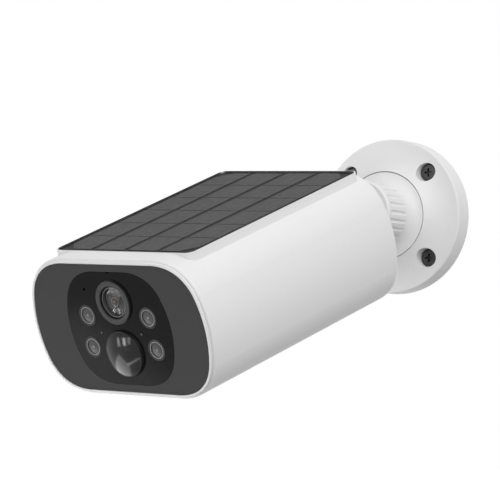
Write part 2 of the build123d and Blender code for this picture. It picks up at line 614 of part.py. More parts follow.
def inner_chassis():
    """Moulded frame that carries the lamp board in front and the sensor board behind."""
    made = face_slab(-CHASSIS_INSET, CHASSIS_Y, CHASSIS_REAR)
    half = HOLDER_W / 2 + 0.4
    made -= block(-half, half, CHASSIS_Y - 1, CHASSIS_REAR + 1,
                  LENS_AT[1] - half, LENS_AT[1] + half)
    for sx in (1, -1):
        made -= block(sx * 38 - 6, sx * 38 + 6, CHASSIS_Y - 1, CHASSIS_REAR + 1, -9, 9)
    for x, z in LED_POSTS:
        made += rod(x, z, POST_R, LED_BOARD_REAR, CHASSIS_Y + 0.5)
    for x, z in SENSOR_POSTS:
        made += rod(x, z, POST_R, CHASSIS_REAR - 0.5, SENSOR_BOARD_Y)
        made -= rod(x, z, SCREW_R, SENSOR_BOARD_Y - 4, SENSOR_BOARD_Y + 1)
    for x, z in BEZEL_POSTS:
        made -= rod(x, z, SCREW_R + 0.1, CHASSIS_Y - 1, CHASSIS_REAR + 1)
    return made


def small_screw_y(x, z, head_y, length):
    """Pan-head machine screw along -Y, head seated on the plane Y = head_y."""
    return rod(x, z, SCREW_R - 0.05, head_y - length, head_y + 0.5) + \
        rod(x, z, 1.9, head_y, head_y + 1.3)


def chassis_screws():
    """Four screws that pull the chassis onto the bezel posts."""
    return group(small_screw_y(x, z, CHASSIS_REAR, 4.6) for x, z in BEZEL_POSTS)


def sensor_screws():
    """Four screws of the sensor board."""
    return group(small_screw_y(x, z, SENSOR_BOARD_Y + SENSOR_BOARD_T, 5) for x, z in SENSOR_POSTS)


# ================================================================ main board and radio
def main_board():
    """Control board under the panel deck."""
    made = block(-BOARD_HALF_W, BOARD_HALF_W, BOARD_Y0, BOARD_Y1, BOARD_Z, BOARD_Z + BOARD_T)
    for x, y in BOARD_POSTS:
        made -= pillar(x, y, SCREW_R + 0.1, BOARD_Z - 1, BOARD_Z + BOARD_T + 1)
    return made


def board_screws():
    """Four screws that hold the control board to the deck."""
    made = []
    for x, y in BOARD_POSTS:
        head = pillar(x, y, 1.9, BOARD_Z - 1.3, BOARD_Z)
        made.append(head + pillar(x, y, SCREW_R - 0.05, BOARD_Z - 0.5, BOARD_Z + BOARD_T + 4))
    return group(made)


def radio_shield():
    """Sheet-metal can over the radio and processor."""
    made = block(-13, 13, 44, 70, BOARD_Z - 3, BOARD_Z)
    return made - block(-12.7, 12.7, 44.3, 69.7, BOARD_Z - 2.7, BOARD_Z + 1)


def board_connectors():
    """Four plug headers on the control board."""
    z0, z1 = BOARD_Z - 4, BOARD_Z
    return group([block(-5, 5, BOARD_Y0 + 1, BOARD_Y0 + 6, z0, z1),
                  block(-26, -18, 30, 35, z0, z1),
                  block(18, 26, 30, 35, z0, z1),
                  block(-4, 4, BOARD_Y1 - 8, BOARD_Y1 - 3, BOARD_Z + BOARD_T,
                        BOARD_Z + BOARD_T + 4)])


def wifi_antenna():
    """Strip antenna bonded to the inside of the rear wall."""
    return block(-21, 21, REAR_INNER - 0.8, REAR_INNER, 13, 20)


def bent_wire(points, radius, bend):
    """Round wire along straight runs joined by arcs."""
    path = FilletPolyline(*points, radius=bend)
    start = Plane(origin=path @ 0, z_dir=path % 0)
    return sweep(start * Circle(radius), path=path)


def antenna_lead():
    """Coaxial lead from the antenna to the control board."""
    y = REAR_INNER - 0.8 - 0.6
    return bent_wire([(12, y, 14), (12, y, 24.6), (12, 106, 24.6),
                      (12, 100, BOARD_Z + BOARD_T + 0.6)], 0.6, 2.0)


def solar_lead():
    """Two-core lead from the panel through the deck to its header."""
    y = PANEL_REAR - 12
    z = BOARD_Z + BOARD_T + 2
    return bent_wire([(0, y, POCKET_FLOOR), (0, y, z), (0, BOARD_Y1 - 3, z)], 0.9, 3.0)


def battery_lead():
    """Lead from the battery contacts up to its header."""
    x = -BAY_HALF_W - 2.6
    return bent_wire([(x + 4.2, BAY_Y0 - 2.0, CELL_Z), (x, BAY_Y0 - 2.0, CELL_Z),
                      (x, BAY_Y0 - 2.0, 5), (x, 32.5, 10), (x, 32.5, BOARD_Z - 4)], 0.9, 1.8)


# ================================================================ solar panel
def panel_backsheet():
    """Board that the cells are laminated to, bonded into the riser's pocket."""
    return plate(PANEL_W / 2, PANEL_FRONT, PANEL_REAR, POCKET_FLOOR,
                 POCKET_FLOOR + BACKSHEET_T, PANEL_CORNER_R)


def solar_cells():
    """Four columns of six cells, the outer corners of the field cut off."""
    z0 = POCKET_FLOOR + BACKSHEET_T
    column = (2 * CELL_FIELD_HALF_W - (CELL_COLUMNS - 1) * COLUMN_GAP) / CELL_COLUMNS
    row = (CELL_FIELD_L - (CELL_ROWS - 1) * ROW_GAP) / CELL_ROWS
    start = PANEL_FRONT + CELL_FIELD_START
    made = []
    for i in range(CELL_COLUMNS):
        x0 = -CELL_FIELD_HALF_W + i * (column + COLUMN_GAP)
        for j in range(CELL_ROWS):
            y0 = start + j * (row + ROW_GAP)
            cell = block(x0, x0 + column, y0, y0 + row, z0, z0 + CELL_T)
            if i in (0, CELL_COLUMNS - 1) and j in (0, CELL_ROWS - 1):
                edge = cell.edges().filter_by(Axis.Z)
                edge = edge.sort_by(Axis.X)[:2] if i == 0 else edge.sort_by(Axis.X)[-2:]
                edge = edge.sort_by(Axis.Y)[0] if j == 0 else edge.sort_by(Axis.Y)[-1]
                cell = chamfer(edge, CELL_CHAMFER)
            made.append(cell)
    return group(made)


def panel_film():
    """Clear cover film over the cells."""
    return plate(PANEL_W / 2, PANEL_FRONT, PANEL_REAR, PANEL_TOP - FILM_T, PANEL_TOP,
                 PANEL_CORNER_R)


# ================================================================ battery bay
def battery_hatch():
    """Bottom cover, flush with the case, with counterbored screw holes."""
    made = plate(HATCH_HALF_W, HATCH_Y0, HATCH_Y1, -CASE_TOP, HATCH_INNER, 4)
    for x, y in HATCH_SCREWS:
        made -= pillar(x, y, HATCH_SCREW_R + 0.15, -CASE_TOP - 1, HATCH_INNER + 1)
        made -= pillar(x, y, HATCH_HEAD_R + 0.15, -CASE_TOP - 1, -CASE_TOP + HATCH_HEAD_T)
    return made


def hatch_gasket():
    """Silicone seal between hatch and ledge."""
    made = plate(GASKET_HALF_W, GASKET_Y0, GASKET_Y1, HATCH_INNER, LEDGE_Z, 3.5)
    inner = GASKET_W
    return made - plate(GASKET_HALF_W - inner, GASKET_Y0 + inner, GASKET_Y1 - inner,
                        HATCH_INNER - 1, LEDGE_Z + 1, 2)


def hatch_screws():
    """Four screws of the hatch, with cross slots."""
    made = []
    for x, y in HATCH_SCREWS:
        screw = pillar(x, y, HATCH_HEAD_R, -CASE_TOP + 0.05, -CASE_TOP + HATCH_HEAD_T)
        screw += pillar(x, y, HATCH_SCREW_R - 0.05, -CASE_TOP + HATCH_HEAD_T - 0.2,
                        LEDGE_Z + FRAME_T - 1.0)
        for turn in (0, 90):
            slot = Pos(x, y, -CASE_TOP + 0.3) * Rot(0, 0, turn) * Box(2.4, 0.5, 1.1)
            screw -= slot
        made.append(screw)
    return group(made)


def cell_axes():
    """X of each battery cell."""
    return (-CELL_PITCH / 2, CELL_PITCH / 2)


def battery_tray():
    """Cradle for two cells, standing on the hatch."""
    made = block(-BAY_HALF_W, BAY_HALF_W, BAY_Y0, BAY_Y1, HATCH_INNER, CELL_Z + 2)
    inner_y0, inner_y1 = BAY_Y0 + TRAY_WALL, BAY_Y1 - TRAY_WALL
    for x in cell_axes():
        made -= rod(x, CELL_Z, CELL_R + 0.1, inner_y0, inner_y1)
        made -= block(x - CELL_R - 0.1, x + CELL_R + 0.1, inner_y0, inner_y1, CELL_Z, CELL_Z + 5)
    return made


def battery_cells():
    """Two cylindrical cells, each with its raised terminal."""
    y0 = BAY_Y0 + TRAY_WALL + TAB_T + 0.2
    made = []
    for x, flip in zip(cell_axes(), (0, 1)):
        cap = 1.0
        body_y0 = y0 + (cap if flip else 0)
        body_y1 = y0 + CELL_L - (0 if flip else cap)
        can = rod(x, CELL_Z, CELL_R, body_y0, body_y1)
        can = fillet(can.edges(), 0.8)
        tip_y0 = y0 if flip else y0 + CELL_L - cap - 0.5
        made.append(can + rod(x, CELL_Z, 3.2, tip_y0, tip_y0 + cap + 0.5))
    return group(made)


def battery_contacts():
    """Nickel tabs at the four ends of the cells."""
    made = []
    for x in cell_axes():
        for y in (BAY_Y0 + TRAY_WALL, BAY_Y1 - TRAY_WALL - TAB_T):
            made.append(block(x - 5, x + 5, y, y + TAB_T, CELL_Z - 5, CELL_Z + 6))
    return group(made)


# ================================================================ port bay
def usb_prism(width, height, z0, z1):
    """Upright prism with the rounded section of a charging socket."""
    made = block(-width / 2, width / 2, PORT_MID - height / 2, PORT_MID + height / 2, z0, z1)
    return fillet(made.edges().filter_by(Axis.Z), height / 2 - 0.05)


def usb_socket():
    """Charging socket: a rounded shell with a tongue."""
    z0, z1 = PORT_FLOOR + 0.1, PORT_BOARD_Z
    shell = usb_prism(USB_W, USB_H, z0, z1)
    shell -= usb_prism(USB_W - 2 * USB_WALL, USB_H - 2 * USB_WALL, z0 - 1, z1 - 1.2)
    return shell + block(-3.2, 3.2, PORT_MID - 0.35, PORT_MID + 0.35, z0 + 0.6, z1 - 1)


def card_socket():
    """Memory card socket, open at the port bay."""
    z0, z1 = PORT_FLOOR + 0.1, PORT_BOARD_Z
    half = CARD_W / 2
    made = block(CARD_AT - half, CARD_AT + half, PORT_MID - CARD_H / 2, PORT_MID + CARD_H / 2,
                 z0, z1)
    return made - block(CARD_AT - half + 0.25, CARD_AT + half - 0.25, PORT_MID - 0.45,
                        PORT_MID + 0.45, z0 - 1, z1 - 1)


def port_board():
    """Small board over the port bay."""
    return block(-PORT_HALF_L - 2, PORT_HALF_L + 2, PORT_Y0, REAR_INNER - 1.0,
                 PORT_BOARD_Z, PORT_BOARD_Z + PORT_BOARD_T)


def button_inner():
    """Height of the inner end of both buttons."""
    return PORT_PAD_TOP + FREE + BUTTON_FLANGE_T


def switches():
    """Two tact switches on the port board, above the buttons."""
    made = []
    for x, travel in ((POWER_AT, POWER_TRAVEL), (RESET_AT, RESET_TRAVEL)):
        tip = button_inner() + travel + 0.15
        body = block(x - 2, x + 2, PORT_MID - 2, PORT_MID + 2, tip + 0.6, PORT_BOARD_Z)
        made.append(body + pillar(x, PORT_MID, 0.9, tip, tip + 1))
    return group(made)


def button(x, radius, proud):
    """Push button: a cap through the pad and a flange that keeps it in."""
    cap = pillar(x, PORT_MID, radius, PORT_FLOOR - proud, button_inner() - 0.1)
    if proud > 0:
        cap = fillet(cap.edges().sort_by(Axis.Z)[0], 0.2)
    return cap + pillar(x, PORT_MID, radius + BUTTON_FLANGE, PORT_PAD_TOP + FREE, button_inner())


def port_flap():
    """Silicone flap over the ports, turning on two moulded pins."""
    half = PORT_HALF_L - FREE
    y0, y1 = FLAP_PIVOT_Y, PORT_Y1 - FREE
    made = block(-half, half, y0, y1, -CASE_TOP, -CASE_TOP + FLAP_T)
    barrel = Pos(0, FLAP_PIVOT_Y, FLAP_PIVOT_Z) * Rot(0, 90, 0) * Cylinder(FLAP_T / 2, 2 * half)
    pins = Pos(0, FLAP_PIVOT_Y, FLAP_PIVOT_Z) * Rot(0, 90, 0) * Cylinder(
        FLAP_PIN_R, 2 * (half + FLAP_PIN_L))
    return made + barrel + pins


# ================================================================ speaker
def speaker():
    """Speaker capsule on its dust mesh."""
    z0 = FLOOR + MESH_T
    made = pillar(0, SPEAKER_Y, SPEAKER_R, z0, z0 + SPEAKER_T)
    return made - pillar(0, SPEAKER_Y, SPEAKER_R - 1.2, z0 - 1, z0 + 1.2)


def speaker_mesh():
    """Dust mesh between grille and speaker."""
    return pillar(0, SPEAKER_Y, SPEAKER_R, FLOOR, FLOOR + MESH_T)


# ================================================================ stem group (camera frame)
def threaded_insert():
    """Brass insert in the rear wall, with its bore open to the stud."""
    return rod(STEM_X, STEM_Z, INSERT_R, CASE_REAR - INSERT_L, CASE_REAR) - \
        rod(STEM_X, STEM_Z, STUD_HOLE_R, CASE_REAR - INSERT_L - 1, CASE_REAR + 1)


def rear_washer():
    """Pressure washer between the case's rear and the lock nut."""
    y0 = CASE_REAR + WASHER_GAP
    made = rod(STEM_X, STEM_Z, WASHER_R, y0, y0 + WASHER_T)
    made = chamfer(made.edges().filter_by(GeomType.CIRCLE), 0.2)
    return made - rod(STEM_X, STEM_Z, STUD_HOLE_R, CASE_REAR - 1, CASE_REAR + 3)


def ball_stem():
    """Ball, neck, shaft and threaded stud in one turned piece."""
    x, z = STEM_X, STEM_Z
    made = Pos(x, BALL_Y, z) * Sphere(BALL_R)
    made -= block(x - 20, x + 20, BALL_Y + BALL_R - 1.5, BALL_Y + 20, z - 20, z + 20)
    made += rod(x, z, NECK_R, BALL_Y - NECK_L, BALL_Y - BALL_R + 2)
    cone_l = SHAFT_START - NECK_L
    made += Pos(x, BALL_Y - NECK_L - cone_l / 2, z) * Rot(90, 0, 0) * Cone(
        NECK_R, SHAFT_R, cone_l)
    made += rod(x, z, SHAFT_R, BALL_Y - SHAFT_END, BALL_Y - SHAFT_START)
    return made + rod(x, z, STUD_R, CASE_REAR - STUD_IN, BALL_Y - SHAFT_END + 1)


def lock_nut():
    """Fluted nut that locks the camera on the stud."""
    x, z = STEM_X, STEM_Z
    y0 = CASE_REAR + WASHER_T + 2 * WASHER_GAP
    made = rod(x, z, NUT_R, y0, y0 + NUT_T)
    made = chamfer(made.edges().filter_by(GeomType.CIRCLE), 0.6)
    for i in range(NUT_FLUTES):
        a = radians(i * 360 / NUT_FLUTES)
        made -= rod(x + (NUT_R + 0.35) * cos(a), z + (NUT_R + 0.35) * sin(a), 0.8, y0 - 1,
                    y0 + NUT_T + 1)
    return made - rod(x, z, STUD_HOLE_R, y0 - 1, y0 + NUT_T + 1)


# ================================================================ bracket (row frame)
def screw_places():
    """(x, z) of the four wall screws."""
    reach = WALL_PCD / 2 / sqrt(2)
    return [(sx * reach, sz * reach) for sx in (1, -1) for sz in (1, -1)]


def wall_plate():
    """Domed wall plate, hollow behind, with a ribbed hub and four screw bosses."""
    rim_top = PLATE_RIM
    edge = PLATE_EDGE_R
    edge_in = PLATE_R - edge
    chord = sqrt((edge_in - SEAM_R) ** 2 + (SEAM_H - rim_top) ** 2)
    out = ((SEAM_H - rim_top) / chord, (edge_in - SEAM_R) / chord)
    mid = ((edge_in + SEAM_R) / 2 + DOME_BULGE * out[0],
           (rim_top + SEAM_H) / 2 + DOME_BULGE * out[1])
    bend = edge * (1 - sqrt(0.5))
    profile = [
        Line((0, 0), (PLATE_R, 0)),
        Line((PLATE_R, 0), (PLATE_R, -rim_top + edge)),
        ThreePointArc((PLATE_R, -rim_top + edge), (PLATE_R - bend, -rim_top + bend),
                      (edge_in, -rim_top)),
        ThreePointArc((edge_in, -rim_top), (mid[0], -mid[1]), (SEAM_R, -SEAM_H)),
        Line((SEAM_R, -SEAM_H), (SEAM_R, -SEAM_FLOOR)),
        Line((SEAM_R, -SEAM_FLOOR), (0, -SEAM_FLOOR)),
        Line((0, -SEAM_FLOOR), (0, 0)),
    ]
    solid = revolve(Face(Wire.combine(profile)[0]), Axis.Y)
    inner_r = PLATE_R - PLATE_WALL
    inner_h = SEAM_FLOOR - PLATE_WALL
    hollow = turned([(HUB_R, 1), (inner_r, 1), (inner_r, -rim_top + PLATE_WALL),
                     (SEAM_R + 3, -inner_h), (HUB_R, -inner_h)])
    made = solid - hollow
    for i in range(8):
        rib = block(HUB_R - 0.5, inner_r + 0.5, -inner_h, -0.8, -0.8, 0.8)
        made += (Rot(0, 22.5 + 45 * i, 0) * rib) & solid
    for x, z in screw_places():
        made += rod(x, z, BOSS_R, -20, 0) & solid
    for x, z in screw_places():
        made -= rod(x, z, HEAD_POCKET_R, -30, -HEAD_SEAT_H)
        made -= rod(x, z, WALL_HOLE_R, -HEAD_SEAT_H - 1, 1)
    made -= post_foot(SEAT, -SEAM_FLOOR - 1)
    made -= rod(0, 0, POST_SCREW_HEAD_R + SLIP, -HUB_WEB_H + HUB_WEB_T, 1)
    return made - rod(0, 0, POST_SCREW_R + RUN, -HUB_WEB_H - 1, 1)


def post_foot(grow, front):
    """Keyed foot of the cup post, from the hub's web forward to front."""
    foot = rod(0, 0, SPIGOT_R + grow, front, -HUB_WEB_H)
    half = KEY_W / 2 + grow
    return foot + block(-half, half, front, -HUB_WEB_H, 0, SPIGOT_R + KEY_DEPTH + grow)


def cup_post():
    """Post on the hub whose end is the cup of the ball joint."""
    top = BALL_H - 2 * RING_GAP - SLIP_RING_T
    made = rod(0, 0, CUP_POST_R, -top, -SEAM_FLOOR) + post_foot(SEAT, -SEAM_FLOOR - 1)
    made -= rod(0, 0, POST_SCREW_R, -HUB_WEB_H - POST_SCREW_IN, 1)
    return made - Pos(0, -BALL_H, 0) * Sphere(CUP_R)


def post_screw():
    """Pan-head screw that holds the cup post from behind."""
    head_y = -HUB_WEB_H + HUB_WEB_T
    head = rod(0, 0, POST_SCREW_HEAD_R, head_y, head_y + POST_SCREW_HEAD_T)
    head = fillet(head.edges().sort_by(Axis.Y)[-1], 0.7)
    for turn in (0, 90):
        head -= Pos(0, head_y + POST_SCREW_HEAD_T, 0) * Rot(0, turn, 0) * Box(3.6, 2.4, 0.8)
    return head + rod(0, 0, POST_SCREW_R - 0.02, -HUB_WEB_H - POST_SCREW_IN + 0.6, head_y)


def wall_screws():
    """Four pan-head wall screws with cross recesses."""
    made = []
    for x, z in screw_places():
        head = rod(x, z, WALL_SCREW_HEAD_R, -HEAD_SEAT_H - WALL_SCREW_HEAD_T, -HEAD_SEAT_H)
        head = fillet(head.edges().sort_by(Axis.Y)[0], 1.1)
        screw = head + rod(x, z, WALL_SCREW_NECK_R, -HEAD_SEAT_H - 1, 0)
        screw += rod(x, z, WALL_SCREW_R, -1, WALL_SCREW_REACH - 2)
        tip_y = WALL_SCREW_REACH - 1
        screw += Pos(x, tip_y, z) * Rot(-90, 0, 0) * Cone(WALL_SCREW_R, 0.4, 2)
        slot_y = -HEAD_SEAT_H - WALL_SCREW_HEAD_T + 0.6
        for turn in (0, 90):
            screw -= Pos(x, slot_y, z) * Rot(0, turn, 0) * Box(4.2, 2.4, 1.0)
        made.append(screw)
    return group(made)


def mouth_edge(radius):
    """(radius, height over the ball centre) where the opening cuts a sphere."""
    angle = radians(MOUTH_ANGLE)
    return radius * sin(angle), radius * cos(angle)


def collar():
    """Ring nut: flared skirt, fluted grip and the lip that holds the ball in its cup."""
    skirt_r = SEAM_R - SEAM_GAP
    bore = CUP_POST_R + RUN
    lip_r, lip_h = mouth_edge(CUP_R)
    shoulder = BALL_H
    turn_h = sqrt(CUP_R ** 2 - (CUP_R - 0.05) ** 2)
    mid_angle = radians((degrees(asin((CUP_R - 0.05) / CUP_R)) + MOUTH_ANGLE) / 2)
    ball_mid = (CUP_R * sin(mid_angle), BALL_H + CUP_R * cos(mid_angle))
    start = (skirt_r, SEAM_H - 0.1)
    end = (COLLAR_R, FLARE_H)
    bow = ((start[0] + 2 * end[0]) / 3 - 0.35, (2 * start[1] + end[1]) / 3 + 0.4)
    floor = SEAM_FLOOR + FREE
    corners = [
        Line((bore, -floor), (skirt_r, -floor)),
        Line((skirt_r, -floor), (start[0], -start[1])),
        ThreePointArc((start[0], -start[1]), (bow[0], -bow[1]), (end[0], -end[1])),
        Line((end[0], -end[1]), (COLLAR_R, -COLLAR_BAND_H)),
        Line((COLLAR_R, -COLLAR_BAND_H), (COLLAR_BAND_R, -COLLAR_BAND_H)),
        Line((COLLAR_BAND_R, -COLLAR_BAND_H), (COLLAR_BAND_R, -COLLAR_FRONT_H + 0.8)),
        Line((COLLAR_BAND_R, -COLLAR_FRONT_H + 0.8), (COLLAR_BAND_R - 0.8, -COLLAR_FRONT_H)),
        Line((COLLAR_BAND_R - 0.8, -COLLAR_FRONT_H), (lip_r + 1.6, -COLLAR_FRONT_H)),
        Line((lip_r + 1.6, -COLLAR_FRONT_H), (lip_r, -BALL_H - lip_h)),
        ThreePointArc((lip_r, -BALL_H - lip_h), (ball_mid[0], -ball_mid[1]),
                      (CUP_R - 0.05, -BALL_H - turn_h)),
        Line((CUP_R - 0.05, -BALL_H - turn_h), (CUP_R - 0.05, -shoulder)),
        Line((CUP_R - 0.05, -shoulder), (bore, -shoulder)),
        Line((bore, -shoulder), (bore, -floor)),
    ]
    made = revolve(Face(Wire.combine(corners)[0]), Axis.Y)
    centre_r = COLLAR_R - GROOVE_DEPTH + GROOVE_R
    lean = atan2(GROOVE_LEAN, COLLAR_BAND_H - GROOVE_END_H)
    length = (COLLAR_BAND_H - GROOVE_END_H) / cos(lean)
    # cutter from the groove's end forward past the band, leaning in towards the axis
    cutter = Rot(0, 0, -degrees(lean)) * (Sphere(GROOVE_R) + rod(0, 0, GROOVE_R, -length - 1, 0))
    cutter = Pos(centre_r + GROOVE_LEAN, -GROOVE_END_H, 0) * cutter
    cutter &= block(0, 30, -COLLAR_BAND_H, 0, -5, 5)
    for i in range(GROOVES):
        made -= Rot(0, i * 360 / GROOVES, 0) * cutter
    return made


def slip_ring():
    """Flat ring between the cup post and the collar's shoulder, which lifts with the collar."""
    top = BALL_H - RING_GAP
    made = rod(0, 0, CUP_POST_R, -top, -top + SLIP_RING_T)
    return made - rod(0, 0, CUP_R + RUN, -top - 1, -top + SLIP_RING_T + 1)


def ball_liner():
    """Nylon liner round the ball, slotted so the collar can squeeze it."""
    outer = BALL_R + RUN + LINER_T
    shell = Pos(0, -BALL_H, 0) * Sphere(outer) - Pos(0, -BALL_H, 0) * Sphere(BALL_R + RUN)
    front = (BALL_R + RUN) * cos(radians(MOUTH_ANGLE))
    shell &= block(-20, 20, -BALL_H - front, -BALL_H + 8.5, -20, 20)
    for i in range(3):
        slot = block(0, 20, -BALL_H - 8, -BALL_H + 1.0, -0.5, 0.5)
        shell -= Rot(0, 30 + 120 * i, 0) * slot
    return shell


# ================================================================ all nodes
def build():
    """Writes every node."""
    os.makedirs("parts", exist_ok=True)
    write("wall_plate", wall_plate())
    write("cup_post", cup_post())
    write("post_screw", post_screw())
    write("wall_screws", wall_screws())
    write("collar", collar())
    write("slip_ring", slip_ring())
    write("ball_liner", ball_liner())
    camera = {
        "ball_stem": ball_stem, "lock_nut": lock_nut, "rear_washer": rear_washer,
        "threaded_insert": threaded_insert, "main_housing": main_housing,
        "front_bezel": front_bezel, "front_gasket": front_gasket, "face_plate": face_plate,
        "window": window, "lens_ring": lens_ring, "lens_glass": lens_glass,
        "lens_shroud": lens_shroud, "lens_barrel": lens_barrel, "lens_holder": lens_holder,
        "image_sensor": image_sensor, "sensor_board": sensor_board, "pir_ring": pir_ring,
        "pir_lens": pir_lens, "pir_sensor": pir_sensor, "lamp_rings": lamp_rings,
        "ir_lamps": ir_lamps, "light_sensors": light_sensors, "microphone": microphone,
        "led_board": led_board,
        "inner_chassis": inner_chassis, "chassis_screws": chassis_screws,
        "sensor_screws": sensor_screws, "main_board": main_board, "board_screws": board_screws,
        "radio_shield": radio_shield, "board_connectors": board_connectors,
        "wifi_antenna": wifi_antenna, "antenna_lead": antenna_lead, "solar_lead": solar_lead,
        "battery_lead": battery_lead, "panel_backsheet": panel_backsheet,
        "solar_cells": solar_cells, "panel_film": panel_film, "battery_hatch": battery_hatch,
        "hatch_gasket": hatch_gasket, "hatch_screws": hatch_screws,
        "battery_tray": battery_tray, "battery_cells": battery_cells,
        "battery_contacts": battery_contacts, "usb_socket": usb_socket,
        "card_socket": card_socket, "port_board": port_board, "switches": switches,
        "power_button": lambda: button(POWER_AT, POWER_R, POWER_PROUD),
        "reset_button": lambda: button(RESET_AT, RESET_R, RESET_PROUD),
        "port_flap": port_flap, "speaker": speaker, "speaker_mesh": speaker_mesh,
    }
    for node, maker in camera.items():
        write_camera(node, maker())


build()
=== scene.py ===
import bpy
import bmesh
import json
from math import radians, sin, cos, pi
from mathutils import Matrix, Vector

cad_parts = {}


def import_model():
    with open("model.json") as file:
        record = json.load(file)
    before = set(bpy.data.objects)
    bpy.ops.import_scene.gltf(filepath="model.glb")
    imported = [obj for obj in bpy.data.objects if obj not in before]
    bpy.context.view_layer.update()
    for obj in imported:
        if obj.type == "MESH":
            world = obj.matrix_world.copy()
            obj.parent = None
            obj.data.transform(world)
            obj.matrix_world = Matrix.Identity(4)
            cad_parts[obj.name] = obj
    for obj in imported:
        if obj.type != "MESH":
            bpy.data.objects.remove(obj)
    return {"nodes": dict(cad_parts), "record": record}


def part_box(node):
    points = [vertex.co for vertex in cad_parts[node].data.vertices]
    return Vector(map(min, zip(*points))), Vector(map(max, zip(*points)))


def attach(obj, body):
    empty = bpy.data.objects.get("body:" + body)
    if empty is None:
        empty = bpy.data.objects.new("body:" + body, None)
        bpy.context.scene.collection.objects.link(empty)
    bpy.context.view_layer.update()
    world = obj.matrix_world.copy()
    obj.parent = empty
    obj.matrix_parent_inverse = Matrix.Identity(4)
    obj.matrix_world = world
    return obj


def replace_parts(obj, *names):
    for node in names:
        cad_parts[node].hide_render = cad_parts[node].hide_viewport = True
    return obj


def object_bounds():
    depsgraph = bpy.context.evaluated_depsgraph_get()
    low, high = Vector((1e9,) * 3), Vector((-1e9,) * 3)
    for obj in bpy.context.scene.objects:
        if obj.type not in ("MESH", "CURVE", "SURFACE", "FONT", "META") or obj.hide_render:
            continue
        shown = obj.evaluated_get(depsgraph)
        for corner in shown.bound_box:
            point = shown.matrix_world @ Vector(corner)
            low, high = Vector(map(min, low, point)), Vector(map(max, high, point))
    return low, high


# Solar-powered security camera on its wall bracket: finishes, lens details, stage and view.
# Lengths are in metres unless a name or comment says millimetres.

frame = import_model()
cad_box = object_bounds()
nodes = frame["nodes"]
scene = bpy.context.scene
MM = 0.001

# ------------------------------------------------------------------ stage values
SKY_LEVEL = 0.50                        # mean strength of the surround that lights the object
SKY_LEAN = (0.24, -0.03, 0.19)          # how it grows to the right and overhead
SKY_LEAST = 0.05                        # the surround is never darker than this
FLOOR_TONE = 0.33
FLOOR_DROP = 0.5                        # floor below the object
FLOOR_LIFT = 0.86                       # glow that whitens the floor where it is seen
FLOOR_HALF = 30                         # half of its side
# name, degrees to the left of straight ahead, degrees up, watts
STRIPS = (("strip_a", 33, -8, 1.0), ("strip_b", 45, -9, 3.0), ("strip_c", 60, -8, 1.5))
STRIP_AWAY, STRIP_SIZE = 1.6, (0.15, 0.34)
CAMERA_AT = (0.7157, -1.4222, -0.1033)
CAMERA_AIM = (93.147, 0.206, 29.400)    # degrees
FOCAL, SENSOR = 230.8, 36.0             # millimetres
# the second value is the width of the black band painted round the film's edge as shade
FILM_SIZE, FILM_SHADE_BAND = (0.086, 0.1171), 0.0006


# ------------------------------------------------------------------ node helpers
def tree(name):
    """New node material with a lone principled shader."""
    mat = bpy.data.materials.new(name)
    mat.use_nodes = True
    nt = mat.node_tree
    nt.nodes.clear()
    out = nt.nodes.new("ShaderNodeOutputMaterial")
    bsdf = nt.nodes.new("ShaderNodeBsdfPrincipled")
    nt.links.new(bsdf.outputs[0], out.inputs[0])
    return mat, nt, bsdf


def node(nt, kind, **values):
    """New node with some of its inputs set; an underscore in a name is a space."""
    n = nt.nodes.new(kind)
    for key, value in values.items():
        n.inputs[key.replace("_", " ")].default_value = value
    return n


def coords(nt):
    return nt.nodes.new("ShaderNodeTexCoord").outputs["Object"]


def noise(nt, where, scale, detail=2.0, rough=0.5):
    n = node(nt, "ShaderNodeTexNoise", Scale=scale, Detail=detail, Roughness=rough)
    nt.links.new(where, n.inputs["Vector"])
    return n.outputs["Fac"]


def span(nt, value, low, high, start=0.3, end=0.7):
    """Map a value from start..end to low..high; a noise lies mostly between 0.3 and 0.7."""
    n = nt.nodes.new("ShaderNodeMapRange")
    nt.links.new(value, n.inputs["Value"])
    n.inputs["From Min"].default_value = start
    n.inputs["From Max"].default_value = end
    n.inputs["To Min"].default_value = low
    n.inputs["To Max"].default_value = high
    return n.outputs["Result"]


def blend_colour(nt, fac, a, b):
    """Mix two colours, each a triple or a socket."""
    n = nt.nodes.new("ShaderNodeMix")
    n.data_type = "RGBA"
    nt.links.new(fac, n.inputs["Factor"])
    for socket, value in (("A", a), ("B", b)):
        target = [s for s in n.inputs if s.name == socket and s.type == "RGBA"][0]
        if isinstance(value, bpy.types.NodeSocket):
            nt.links.new(value, target)
        else:
            target.default_value = (*value, 1)
    return [s for s in n.outputs if s.type == "RGBA"][0]


def relief(nt, bsdf, height, distance, edge=0.0):
    """Bump from a height, over edges softened to a radius."""
    bump = node(nt, "ShaderNodeBump", Strength=1.0, Distance=distance)
    nt.links.new(height, bump.inputs["Height"])
    if edge:
        soft = node(nt, "ShaderNodeBevel", Radius=edge)
        soft.samples = 4
        nt.links.new(soft.outputs[0], bump.inputs["Normal"])
    nt.links.new(bump.outputs[0], bsdf.inputs["Normal"])


def grey(value):
    return (value, value, value)


# ------------------------------------------------------------------ the camera's own axes
joints = {j["name"]: j for j in frame["record"]["behaviour"]["joints"]}
RIGHT = -Vector(joints["port_flap_hinge"]["axis"])
REAR = Vector(joints["camera_roll"]["axis"])
UP = Vector(joints["power_press"]["axis"])


def middle_of(points):
    """Middle of some points, measured along the camera's own axes."""
    centre = Vector()
    for axis in (RIGHT, REAR, UP):
        reach = [p.dot(axis) for p in points]
        centre += axis * (min(reach) + max(reach)) / 2
    return centre


def points_of(name):
    return [Vector(v.co) for v in nodes[name].data.vertices]


def middle(name):
    return middle_of(points_of(name))


